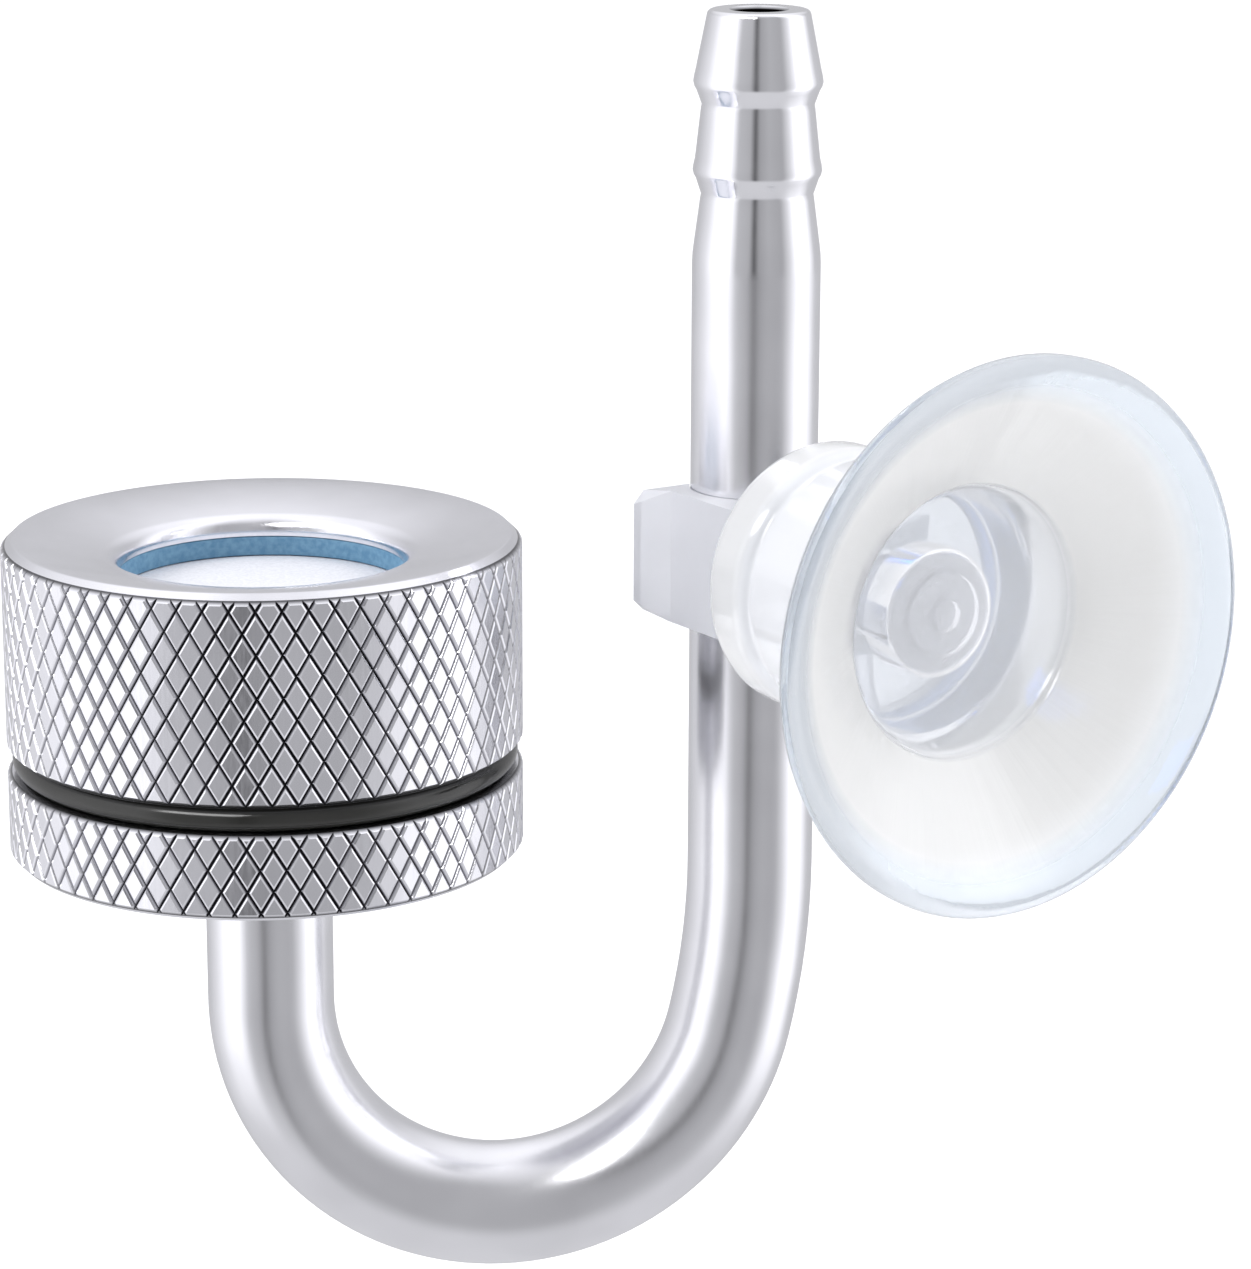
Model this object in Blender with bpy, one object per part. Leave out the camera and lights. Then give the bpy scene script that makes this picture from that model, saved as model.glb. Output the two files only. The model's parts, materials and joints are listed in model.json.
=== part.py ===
"""CO2 diffuser for an aquarium: J-shaped gas tube, screwed diffuser head, clip and suction cup.

World frame: origin at the centre of the suction cup's rim, glass plane y = 0, +Y away from the
glass, +Z up along the gas tube.  All lengths below are millimetres.
"""
import math

import bmesh
import bpy
from mathutils import Matrix, Vector

MM = 0.001
WELD = 1e-6

RING_STEPS = 40
TUBE_STEPS = 20

# Gas tube
TUBE_AXIS_Y = 16.5
TUBE_RADIUS = 2.5
BORE_RADIUS = 1.05
TIP_Z = 21.3
TIP_RADIUS = 2.0
TIP_ROUND = 0.22
NECK_RADIUS = 2.17
RIDGE_Z = (18.6, 15.2)
NECK_Z = (17.65, 14.2)
BARB_END_Z = 11.8
BEND_START_Z = -12.6
SLACK_BEND_RADIUS = 31.4
SLACK_BEND_ANGLE = math.radians(12.8)
MAIN_BEND_RADIUS = 9.4
SWIVEL_AT_REST = math.radians(24.7)

# Diffuser head
HEAD_RADIUS = 10.05
CAP_TOP_Z = 1.48
CAP_BOTTOM_Z = -6.69
CAP_CHAMFER = 0.4
DISH_DROP = 0.66
OPENING_RADIUS = 5.55
LIP_ROUND = 0.7
SHOULDER_Z = 0.0
EDGE_BREAK = 0.2
FLANGE_TOP_Z = -7.72
BASE_BOTTOM_Z = -11.05
FLANGE_TOP_CHAMFER = 0.15
BASE_FOOT_CHAMFER = 0.3
SPIGOT_TOP_Z = -3.62
CHAMBER_RADIUS = 5.6
CHAMBER_FLOOR_Z = -8.0
TUBE_DEPTH = 2.3
TUBE_END_GAP = 0.05
HOLE_PLAY = 0.03
SEAT_GAP = 0.03

# Cap thread
PITCH = 0.75
THREAD_ROOT = 7.75
THREAD_CREST = 8.2
THREAD_PLAY = 0.12
MALE_THREAD_Z = (-6.6, -3.85)
FEMALE_THREAD_Z = (-6.45, -3.5)
RUN_OUT_Z = (-3.4, -3.3)
THREAD_FORM = ((0.0, 0.0), (0.3, 1.0), (0.5, 1.0), (0.8, 0.0))

# Seals and disc
GASKET_RADIUS = 7.7
GASKET_BORE = 5.55
GASKET_THICKNESS = 0.8
DISC_RADIUS = 7.6
DISC_THICKNESS = 2.0
DISC_CHAMFER = 0.15
SEAT_RADIUS = 7.45
BODY_RING_BORE = 7.85
BODY_RING_RADIUS = 9.85
BODY_RING_BULGE = 0.45
SEAL_GROOVE_RADIUS = 3.25
SEAL_GROOVE_Z = (-10.2, -9.4)
SEAL_BORE_PLAY = 0.02
SEAL_GAP = 0.04
SEAL_BULGE = 0.3

# Clip
CLIP_HALF_HEIGHT = 2.65
CLIP_HALF_WIDTH = 3.25
CLIP_BACK = 3.7
CLIP_BORE = 2.55
CLIP_MOUTH = 1.9
CLIP_CORNER = 0.5
CLIP_LIP_START = 1.0
CLIP_LIP_TIP = (4.05, 2.45)
CLIP_LIP_WALL = 0.55
CLIP_LIP_TAPER = 0.7
STUD_ROOT = 0.4
STUD_CHAMFER = 0.4
STUD_BOSS = 1.5
STUD_NUB = 0.5
STUD_NECK = 1.5
STUD_HEAD = 2.35
STUD_HEAD_START = 8.6
STUD_HEAD_END = 11.2
STUD_BOSS_END = 11.47
STUD_TIP = 11.75

# Suction cup, distances from the glass plane
RIM_RADIUS = 10.45
RIM_FLAT = 0.35
HOLLOW_DEPTH = 3.6
WELL_EDGE = (5.2, 3.05)
WELL_WALL = 0.45
HUB_RADIUS = 5.0
HUB_BEAD_RADIUS = 5.25
HUB_BACK = 12.65
HUB_GROOVE = 10.0
HUB_ROUND = 0.9
SKIRT_ROOT = 7.0
SOCKET_PLAY = 0.1


def material(name, colour, roughness, metallic=0.0):
    made = bpy.data.materials.new(name)
    made.use_nodes = True
    shader = made.node_tree.nodes["Principled BSDF"]
    shader.inputs["Base Color"].default_value = (*colour, 1.0)
    shader.inputs["Roughness"].default_value = roughness
    shader.inputs["Metallic"].default_value = metallic
    return made


def add_object(name, mesh, made, origin):
    """Link the mesh under its name with its origin at a world point in millimetres."""
    shift = Vector(origin) * MM
    mesh.transform(Matrix.Translation(-shift))
    mesh.materials.append(made)
    mesh.shade_smooth()
    mesh.set_sharp_from_angle(angle=math.radians(35))
    made_object = bpy.data.objects.new(name, mesh)
    made_object.location = shift
    bpy.context.scene.collection.objects.link(made_object)
    return made_object


def finish_mesh(name, bm):
    bmesh.ops.remove_doubles(bm, verts=bm.verts, dist=WELD)
    bmesh.ops.recalc_face_normals(bm, faces=bm.faces)
    mesh = bpy.data.meshes.new(name)
    bm.to_mesh(mesh)
    bm.free()
    return mesh


def turned(name, profile_at, closed=True, steps=RING_STEPS):
    """Turn a profile of (radius, height) points about Z; the profile may change with the angle."""
    bm = bmesh.new()
    columns = []
    for step in range(steps + 1):
        angle = 2 * math.pi * step / steps
        column = []
        for radius, height in profile_at(angle):
            point = (radius * math.cos(angle) * MM, radius * math.sin(angle) * MM, height * MM)
            column.append(bm.verts.new(point))
        columns.append(column)
    count = len(columns[0])
    last = count if closed else count - 1
    for one, two in zip(columns, columns[1:]):
        for i in range(last):
            j = (i + 1) % count
            bm.faces.new((one[i], two[i], two[j], one[j]))
    return finish_mesh(name, bm)


def plain(points):
    """The same profile at every angle."""
    return lambda angle: points


def arc(centre, radius, start, end, steps):
    """Points on an arc, angles in degrees."""
    points = []
    for step in range(steps + 1):
        turn = math.radians(start + (end - start) * step / steps)
        points.append((centre[0] + radius * math.cos(turn), centre[1] + radius * math.sin(turn)))
    return points


def thread(angle, span, root, crest, end_radius):
    """Thread points up a right-hand helix, cut flat at both ends of the span."""
    low, high = span
    points = []
    for turn in range(math.floor(low / PITCH) - 1, math.ceil(high / PITCH) + 1):
        for part, rise in THREAD_FORM:
            height = PITCH * (turn + part + angle / (2 * math.pi))
            radius = root + (crest - root) * rise
            if height <= low or height >= high:
                radius = end_radius
            points.append((radius, min(max(height, low), high)))
    return [(end_radius, low)] + points + [(end_radius, high)]


def moved(mesh, centre):
    """Move a mesh made about the world's Z axis to a point in plan."""
    mesh.transform(Matrix.Translation((centre[0] * MM, centre[1] * MM, 0)))
    return mesh


def to_cup_axis(mesh):
    """Turn a mesh made about Z so that its height runs along +Y."""
    mesh.transform(Matrix.Rotation(math.radians(-90), 4, "X"))
    return mesh


def cap_profile(angle):
    top = CAP_TOP_Z
    bore = THREAD_ROOT + THREAD_PLAY
    relief = THREAD_CREST + THREAD_PLAY
    lip_z = top - DISH_DROP
    lip = arc((OPENING_RADIUS + LIP_ROUND, lip_z - LIP_ROUND), LIP_ROUND, 180, 98, 5)
    outside = [
        (HEAD_RADIUS - CAP_CHAMFER, top),
        (HEAD_RADIUS, top - CAP_CHAMFER),
        (HEAD_RADIUS, CAP_BOTTOM_Z + EDGE_BREAK),
        (HEAD_RADIUS - EDGE_BREAK, CAP_BOTTOM_Z),
        (relief, CAP_BOTTOM_Z),
    ]
    inside = thread(angle, FEMALE_THREAD_Z, bore, relief, relief)
    run_out = [(relief, RUN_OUT_Z[0]), (bore, RUN_OUT_Z[1])]
    above = [*run_out, (bore, SHOULDER_Z), (OPENING_RADIUS, SHOULDER_Z)]
    return outside + inside + above + lip


def base_profile(angle):
    top = FLANGE_TOP_Z
    bottom = BASE_BOTTOM_Z
    groove_low, groove_high = SEAL_GROOVE_Z
    hole = TUBE_RADIUS + HOLE_PLAY
    shelf = bottom + TUBE_DEPTH + TUBE_END_GAP
    inside = [
        (hole, bottom),
        (hole, groove_low),
        (SEAL_GROOVE_RADIUS, groove_low),
        (SEAL_GROOVE_RADIUS, groove_high),
        (hole, groove_high),
        (hole, shelf),
        (BORE_RADIUS, shelf),
        (BORE_RADIUS, CHAMBER_FLOOR_Z),
        (CHAMBER_RADIUS, CHAMBER_FLOOR_Z),
        (CHAMBER_RADIUS, SPIGOT_TOP_Z),
    ]
    spigot = [(THREAD_ROOT - EDGE_BREAK, SPIGOT_TOP_Z), (THREAD_ROOT, SPIGOT_TOP_Z - EDGE_BREAK)]
    flange = [
        (THREAD_ROOT, top),
        (HEAD_RADIUS - FLANGE_TOP_CHAMFER, top),
        (HEAD_RADIUS, top - FLANGE_TOP_CHAMFER),
        (HEAD_RADIUS, bottom + BASE_FOOT_CHAMFER),
        (HEAD_RADIUS - BASE_FOOT_CHAMFER, bottom),
    ]
    down = thread(angle, MALE_THREAD_Z, THREAD_ROOT, THREAD_CREST, THREAD_ROOT)[::-1]
    return inside + spigot + down + flange


def ring_profile(bore, radius, low, high, bulge=0.0):
    """A flat ring; a bulge rounds its outer wall like a squeezed seal."""
    outer = [(radius, low), (radius, high)]
    if bulge:
        middle = (low + high) / 2
        half = (high - low) / 2
        outer = [
            (radius - bulge + bulge * math.cos(turn), middle + half * math.sin(turn))
            for turn in (math.radians(-90 + 30 * k) for k in range(7))
        ]
    return [(bore, low), *outer, (bore, high)]


def head_centre():
    """Axis of the head in plan."""
    reach = tube_path()[-1][0]
    return (reach.x * math.cos(SWIVEL_AT_REST), TUBE_AXIS_Y - reach.x * math.sin(SWIVEL_AT_REST))


def tube_path():
    """Centreline of the tube below the barbs, in its own plane: (point, direction) pairs."""
    path = [(Vector((0, 0, BEND_START_Z)), Vector((0, 0, -1)))]
    slack = Vector((-SLACK_BEND_RADIUS, 0, BEND_START_Z))
    path += bend(slack, SLACK_BEND_RADIUS, 0, SLACK_BEND_ANGLE, 3)
    start, heading = path[-1]
    main = start - MAIN_BEND_RADIUS * Vector((-heading.z, 0, heading.x))
    path += bend(main, MAIN_BEND_RADIUS, SLACK_BEND_ANGLE, math.pi, 16)
    end = path[-1][0]
    path.append((Vector((end.x, 0, BASE_BOTTOM_Z + TUBE_DEPTH)), Vector((0, 0, 1))))
    return path


def bend(centre, radius, start, end, steps):
    """Points and directions down and round a bend, without its first point."""
    out = []
    for step in range(1, steps + 1):
        turn = start + (end - start) * step / steps
        spoke = Vector((math.cos(turn), 0, -math.sin(turn)))
        out.append((centre + radius * spoke, Vector((-math.sin(turn), 0, -math.cos(turn)))))
    return out


def tube_sections():
    """(point, direction, radius) down the outside of the tube, tip first."""
    down = Vector((0, 0, -1))
    rounding = arc((TIP_RADIUS - TIP_ROUND, TIP_Z - TIP_ROUND), TIP_ROUND, 90, 0, 3)
    barbs = list(rounding)
    for ridge, neck in zip(RIDGE_Z, NECK_Z):
        barbs += [
            (TUBE_RADIUS - 0.06, ridge + 0.25),
            (TUBE_RADIUS, ridge - 0.05),
            (TUBE_RADIUS - 0.08, ridge - 0.3),
            (NECK_RADIUS + 0.03, neck + 0.12),
            (NECK_RADIUS, neck),
            (NECK_RADIUS + 0.03, neck - 0.12),
        ]
    barbs += [(TUBE_RADIUS - 0.04, BARB_END_Z + 0.3), (TUBE_RADIUS, BARB_END_Z - 0.2)]
    sections = [(Vector((0, 0, height)), down, radius) for radius, height in barbs]
    return sections + [(point, heading, TUBE_RADIUS) for point, heading in tube_path()]


def section_loop(bm, point, heading, radius):
    side = Vector((0, 1, 0))
    across = side.cross(heading)
    loop = []
    for step in range(TUBE_STEPS):
        turn = 2 * math.pi * step / TUBE_STEPS
        place = point + radius * (math.cos(turn) * across + math.sin(turn) * side)
        loop.append(bm.verts.new(place * MM))
    return loop


def bridge(bm, one, two):
    for i in range(len(one)):
        j = (i + 1) % len(one)
        bm.faces.new((one[i], one[j], two[j], two[i]))


def gas_tube_mesh():
    bm = bmesh.new()
    outside = [section_loop(bm, *section) for section in tube_sections()]
    down = Vector((0, 0, -1))
    bore_path = [(Vector((0, 0, TIP_Z)), down)] + tube_path()
    inside = [section_loop(bm, point, heading, BORE_RADIUS) for point, heading in bore_path]
    for one, two in zip(outside, outside[1:]):
        bridge(bm, one, two)
    for one, two in zip(inside, inside[1:]):
        bridge(bm, two, one)
    bridge(bm, inside[0], outside[0])
    bridge(bm, outside[-1], inside[-1])
    mesh = finish_mesh("gas_tube", bm)
    mesh.transform(Matrix.Rotation(-SWIVEL_AT_REST, 4, "Z"))
    return moved(mesh, (0, TUBE_AXIS_Y))


def cup_profile():
    """(radius, distance from the glass) round the section of the cup, from the hollow's centre."""
    neck = STUD_NECK + SOCKET_PLAY
    head = STUD_HEAD + SOCKET_PLAY
    socket_end = TUBE_AXIS_Y - STUD_HEAD_END - SOCKET_PLAY
    socket_boss = TUBE_AXIS_Y - STUD_BOSS_END - SOCKET_PLAY
    socket_tip = TUBE_AXIS_Y - STUD_TIP - SOCKET_PLAY
    socket_start = TUBE_AXIS_Y - STUD_HEAD_START + SOCKET_PLAY
    hollow = [
        (0, HOLLOW_DEPTH - 0.15),
        (2.6, HOLLOW_DEPTH),
        (WELL_EDGE[0] - WELL_WALL, HOLLOW_DEPTH - 0.05),
        WELL_EDGE,
        (7.3, 1.7),
        (9.0, 0.72),
        (RIM_RADIUS - RIM_FLAT, 0),
    ]
    skirt = [
        (RIM_RADIUS, 0),
        (RIM_RADIUS + 0.05, 0.25),
        (RIM_RADIUS - 0.05, 0.55),
        (9.3, 1.65),
        (7.9, 3.1),
        (6.6, 4.6),
        (5.6, 5.9),
        (HUB_RADIUS, SKIRT_ROOT),
    ]
    hub = [
        (HUB_RADIUS, HUB_GROOVE - 0.45),
        (HUB_RADIUS - 0.18, HUB_GROOVE),
        (HUB_BEAD_RADIUS - 0.1, HUB_GROOVE + 0.4),
        *arc((HUB_BEAD_RADIUS - HUB_ROUND, HUB_BACK - HUB_ROUND), HUB_ROUND, 0, 90, 4),
    ]
    socket = [
        (neck + EDGE_BREAK, HUB_BACK),
        (neck, HUB_BACK - EDGE_BREAK),
        (neck, socket_start),
        (head, socket_start),
        (head, socket_end + STUD_CHAMFER),
        (head - STUD_CHAMFER, socket_end),
        (STUD_BOSS + SOCKET_PLAY, socket_end),
        (STUD_BOSS + SOCKET_PLAY, socket_boss),
        (STUD_NUB + SOCKET_PLAY, socket_boss),
        (STUD_NUB + SOCKET_PLAY, socket_tip),
        (0, socket_tip),
    ]
    return hollow + skirt + hub + socket


def stud_profile():
    """(radius, distance from the glass) of the clip's stud, from its tip back into the clip."""
    tip = TUBE_AXIS_Y - STUD_TIP
    boss = TUBE_AXIS_Y - STUD_BOSS_END
    end = TUBE_AXIS_Y - STUD_HEAD_END
    start = TUBE_AXIS_Y - STUD_HEAD_START
    root = TUBE_AXIS_Y - CLIP_BACK + STUD_ROOT
    return [
        (0, tip),
        (STUD_NUB, tip),
        (STUD_NUB, boss),
        (STUD_BOSS, boss),
        (STUD_BOSS, end),
        (STUD_HEAD - STUD_CHAMFER, end),
        (STUD_HEAD, end + STUD_CHAMFER),
        (STUD_HEAD, start),
        (STUD_NECK, start),
        (STUD_NECK, root),
        (0, root),
    ]


def clip_outline():
    """Plan of the clip about the tube axis, +Y away from the cup, as one closed loop."""
    mouth = math.degrees(math.asin(CLIP_MOUTH / CLIP_BORE))
    bore = arc((0, 0), CLIP_BORE, 90 + mouth, 450 - mouth, 22)
    tip_x, tip_y = CLIP_LIP_TIP
    right = [
        (tip_x - CLIP_LIP_WALL, tip_y + 0.12),
        (tip_x, tip_y),
        (CLIP_HALF_WIDTH, CLIP_LIP_START),
        (CLIP_HALF_WIDTH, CLIP_CORNER - CLIP_BACK),
        (CLIP_HALF_WIDTH - CLIP_CORNER, -CLIP_BACK),
    ]
    left = [(-x, y) for x, y in reversed(right)]
    return bore + right + left


def clip_half_height(x, y):
    """Full height on the body, tapering out along the flared lips."""
    share = (abs(x) - CLIP_HALF_WIDTH) / (CLIP_LIP_TIP[0] - CLIP_HALF_WIDTH)
    if y <= CLIP_LIP_START or share <= 0:
        return CLIP_HALF_HEIGHT
    return CLIP_HALF_HEIGHT - CLIP_LIP_TAPER * min(share, 1.0)


def clip_body_mesh():
    bm = bmesh.new()
    loops = []
    for side in (-1, 1):
        loop = []
        for x, y in clip_outline():
            height = side * clip_half_height(x, y)
            loop.append(bm.verts.new((x * MM, (y + TUBE_AXIS_Y) * MM, height * MM)))
        loops.append(loop)
    bridge(bm, loops[0], loops[1])
    caps = [bm.faces.new(loops[0]), bm.faces.new(loops[1])]
    bmesh.ops.triangulate(bm, faces=caps)
    return finish_mesh("tube_clip", bm)


def build_clip(made):
    clip = add_object("tube_clip", clip_body_mesh(), made, (0, 0, 0))
    stud_mesh = to_cup_axis(turned("stud", plain(stud_profile()), closed=False, steps=24))
    stud = add_object("stud_cutter", stud_mesh, made, (0, 0, 0))
    stud.hide_render = True
    stud.display_type = "WIRE"
    joined = clip.modifiers.new("stud", "BOOLEAN")
    joined.operation = "UNION"
    joined.solver = "EXACT"
    joined.object = stud


def build_head(aluminium_cap, aluminium_base, blue, white, clear, rubber):
    centre = head_centre()

    def place(name, mesh, made, height):
        add_object(name, moved(mesh, centre), made, (*centre, height))

    place("knurled_cap", turned("knurled_cap", cap_profile), aluminium_cap, CAP_TOP_Z)
    place("knurled_base", turned("knurled_base", base_profile), aluminium_base, BASE_BOTTOM_Z)

    gasket_low = SHOULDER_Z - GASKET_THICKNESS
    disc_low = gasket_low - DISC_THICKNESS
    disc_top = gasket_low - SEAT_GAP
    gasket = ring_profile(GASKET_BORE, GASKET_RADIUS, gasket_low, SHOULDER_Z - SEAT_GAP)
    place("cap_gasket", turned("cap_gasket", plain(gasket)), blue, gasket_low)

    disc = [
        (0, disc_low),
        (DISC_RADIUS - DISC_CHAMFER, disc_low),
        (DISC_RADIUS, disc_low + DISC_CHAMFER),
        (DISC_RADIUS, disc_top - DISC_CHAMFER),
        (DISC_RADIUS - DISC_CHAMFER, disc_top),
        (0, disc_top),
    ]
    place("ceramic_disc", turned("ceramic_disc", plain(disc), closed=False), white, disc_low)

    seat = ring_profile(CHAMBER_RADIUS, SEAT_RADIUS, SPIGOT_TOP_Z + SEAT_GAP, disc_low - SEAT_GAP)
    place("disc_seat_gasket", turned("disc_seat_gasket", plain(seat)), clear, SPIGOT_TOP_Z)

    low, high = FLANGE_TOP_Z + SEAT_GAP, CAP_BOTTOM_Z - SEAT_GAP
    body_ring = ring_profile(BODY_RING_BORE, BODY_RING_RADIUS, low, high, BODY_RING_BULGE)
    place("body_o_ring", turned("body_o_ring", plain(body_ring)), rubber, FLANGE_TOP_Z)

    low, high = SEAL_GROOVE_Z
    bore, radius = TUBE_RADIUS + SEAL_BORE_PLAY, SEAL_GROOVE_RADIUS - SEAL_GAP
    seal = ring_profile(bore, radius, low + SEAL_GAP, high - SEAL_GAP, SEAL_BULGE)
    place("tube_seal_ring", turned("tube_seal_ring", plain(seal), steps=24), rubber, low)


def main():
    for old in list(bpy.data.objects):
        bpy.data.objects.remove(old)
    aluminium_cap = material("cap_aluminium", (0.77, 0.77, 0.79), 0.28, 1.0)
    aluminium_base = material("base_aluminium", (0.77, 0.77, 0.79), 0.3, 1.0)
    aluminium_tube = material("tube_aluminium", (0.8, 0.8, 0.82), 0.22, 1.0)
    blue = material("gasket_blue", (0.16, 0.38, 0.62), 0.5)
    white = material("disc_white", (0.92, 0.92, 0.93), 0.85)
    clear = material("seat_silicone", (0.86, 0.88, 0.9), 0.4)
    rubber = material("ring_black", (0.03, 0.03, 0.03), 0.45)
    clip = material("clip_plastic", (0.84, 0.86, 0.87), 0.35)
    cup = material("cup_silicone", (0.86, 0.89, 0.92), 0.2)

    build_head(aluminium_cap, aluminium_base, blue, white, clear, rubber)
    add_object("gas_tube", gas_tube_mesh(), aluminium_tube, (0, TUBE_AXIS_Y, 0))
    build_clip(clip)
    cup_mesh = to_cup_axis(turned("suction_cup", plain(cup_profile()), closed=False))
    add_object("suction_cup", cup_mesh, cup, (0, 0, 0))


main()
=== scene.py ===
"""Looks, light and camera for the CO2 diffuser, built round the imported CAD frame.

Lengths are millimetres in the frame's axes unless a name says otherwise.
"""
import json
import math

import bmesh
import bpy
from mathutils import Matrix, Vector


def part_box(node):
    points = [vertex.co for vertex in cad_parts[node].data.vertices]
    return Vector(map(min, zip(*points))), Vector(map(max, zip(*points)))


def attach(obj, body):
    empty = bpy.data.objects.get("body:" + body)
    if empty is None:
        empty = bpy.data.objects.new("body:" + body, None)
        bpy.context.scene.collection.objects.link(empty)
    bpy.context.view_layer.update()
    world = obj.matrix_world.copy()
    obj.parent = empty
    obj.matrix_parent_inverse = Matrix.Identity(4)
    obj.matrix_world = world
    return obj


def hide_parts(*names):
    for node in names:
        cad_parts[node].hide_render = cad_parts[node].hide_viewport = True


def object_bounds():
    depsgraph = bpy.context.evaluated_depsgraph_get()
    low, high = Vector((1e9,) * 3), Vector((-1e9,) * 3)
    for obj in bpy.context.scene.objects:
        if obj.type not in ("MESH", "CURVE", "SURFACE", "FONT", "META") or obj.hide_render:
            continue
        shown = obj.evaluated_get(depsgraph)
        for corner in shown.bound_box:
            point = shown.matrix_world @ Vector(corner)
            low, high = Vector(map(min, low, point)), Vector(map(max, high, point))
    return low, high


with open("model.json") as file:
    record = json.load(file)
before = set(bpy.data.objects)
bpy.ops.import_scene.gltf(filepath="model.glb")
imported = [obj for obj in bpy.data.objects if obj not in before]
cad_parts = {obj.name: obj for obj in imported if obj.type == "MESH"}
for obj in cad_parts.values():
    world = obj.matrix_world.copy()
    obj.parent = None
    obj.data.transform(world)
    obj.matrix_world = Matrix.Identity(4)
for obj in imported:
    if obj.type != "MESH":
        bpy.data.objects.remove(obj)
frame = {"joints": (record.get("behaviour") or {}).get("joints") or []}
cad_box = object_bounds()

MM = 0.001
WELD = 0.0001
FINE = 192
ROUND = 96
COARSE = 48
SHARP_ANGLE = 28


def cad(node):
    """A CAD node's lowest and highest corner in millimetres."""
    low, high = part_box(node)
    return low / MM, high / MM


CAP_LOW, CAP_HIGH = cad("knurled_cap")
BASE_LOW, BASE_HIGH = cad("knurled_base")
GASKET_LOW, GASKET_HIGH = cad("cap_gasket")
DISC_LOW, DISC_HIGH = cad("ceramic_disc")
SEAT_LOW, SEAT_HIGH = cad("disc_seat_gasket")
RING_LOW, RING_HIGH = cad("body_o_ring")
SEAL_LOW, SEAL_HIGH = cad("tube_seal_ring")
TUBE_TOP = cad("gas_tube")[1].z

# Head; the cap's top edge is (change of radius, rise) from its chamfer and its highest point
HEAD_AXIS = ((CAP_LOW.x + CAP_HIGH.x) / 2, (CAP_LOW.y + CAP_HIGH.y) / 2)
HEAD_RADIUS = (CAP_HIGH.x - CAP_LOW.x) / 2
SEAL_GAP = 0.03
FLANGE_TOP = RING_LOW.z - SEAL_GAP
BLANK_EXTRA = 0.3
CAP_CHAMFER = 0.4
CAP_TOP_EDGE = ((-0.12, -0.01), (0.0, -0.03))
CAP_FOOT_CHAMFER = 0.2
BASE_TOP_CHAMFER = 0.15
BASE_FOOT_CHAMFER = 0.3
DISH_DROP = 0.66
DISH_SLOPE = 9
OPENING_RADIUS = 5.55
LIP_ROUND = 0.7
SHOULDER_Z = GASKET_HIGH.z + SEAL_GAP
CHAMBER_RADIUS = 5.6
CHAMBER_FLOOR = -8.0
SPIGOT_CHAMFER = 0.2
TUBE_HOLE_PLAY = 0.03
TUBE_HOLE_CHAMFER = 0.12
TUBE_POCKET = 2.35
SEAL_WALL = 6.8
SEAL_PLAY = 0.04
SEAL_BORE_PLAY = 0.02
RING_PLAY = 0.1
GASKET_ROUND = 0.06
DISC_ROUND = 0.15
SEAT_ROUND = 0.1
SEAL_ROUND = 0.25

# Knurl: diamonds round the head, one diamond's height, (share of its size, drop) of its top's edges
KNURL_COUNT = 64
KNURL_HEIGHT = 1.65
KNURL_RINGS = ((0.85, 0.035), (0.7, 0.0))
KNURL_DEPTH = 0.15

# Cap thread
PITCH = 0.75
THREAD_ROOT = 7.75
THREAD_CREST = 8.2
THREAD_PLAY = 0.12
MALE_THREAD = (-6.6, -3.85)
FEMALE_THREAD = (-6.45, -3.5)
RUN_OUT = 0.1
THREAD_FORM = ((0.0, 0.0), (0.3, 1.0), (0.5, 1.0), (0.8, 0.0))

# Gas tube
TUBE_AXIS_Y = next(j["pos_m"][1] for j in frame["joints"] if j["name"] == "tube_swivel") / MM
TUBE_RADIUS = 2.5
BORE_RADIUS = 1.05
BORE_ROUND = 0.12
TIP_RADIUS = 2.0
TIP_ROUND = 0.22
NECK_RADIUS = 2.17
RIDGE_Z = (18.6, 15.2)
NECK_Z = (17.65, 14.2)
BARB_END_Z = 11.8
STRAIGHT_STEPS = 12
SLACK_STEPS = 8
BEND_STEPS = 64
BEND_START_Z = -12.6
SLACK_RADIUS = 31.4
SLACK_ANGLE = math.radians(12.8)
MAIN_RADIUS = 9.4
SWIVEL = math.radians(24.7)
TUBE_END_PLAY = 0.05

# Barb outline as (change of radius, rise): from the tube's radius at a ridge and at the barb's end,
# from the neck's radius at a neck
RIDGE_SHAPE = ((-0.09, 0.42), (-0.03, 0.16), (0.0, -0.05), (-0.04, -0.22), (-0.13, -0.38))
NECK_SHAPE = ((0.05, 0.16), (0.0, 0.02), (0.03, -0.14))
SHOULDER_SHAPE = ((-0.06, 0.45), (-0.02, 0.12), (0.0, -0.25))

# Clip
CLIP_HALF_HEIGHT = cad("tube_clip")[1].z
CLIP_HALF_WIDTH = 3.25
CLIP_BACK = 3.7
CLIP_CORNER = 0.5
CLIP_EDGE = 0.12
CLIP_BORE = 2.55
CLIP_MOUTH = 1.9
LIP_START = 1.0
LIP_TIP = (4.05, 2.45)
LIP_INNER = (3.5, 2.57)
LIP_TAPER = 0.7
STUD_NECK = 1.5
STUD_HEAD = 2.35
STUD_HEAD_SPAN = (5.3, 7.9)
STUD_BOSS = 1.5
STUD_BOSS_END = 5.03
STUD_NUB = 0.5
STUD_TIP = 4.75
STUD_ROUND = 0.12
STUD_HEAD_ROUND = 0.4
STUD_ROOT = 0.3

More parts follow.
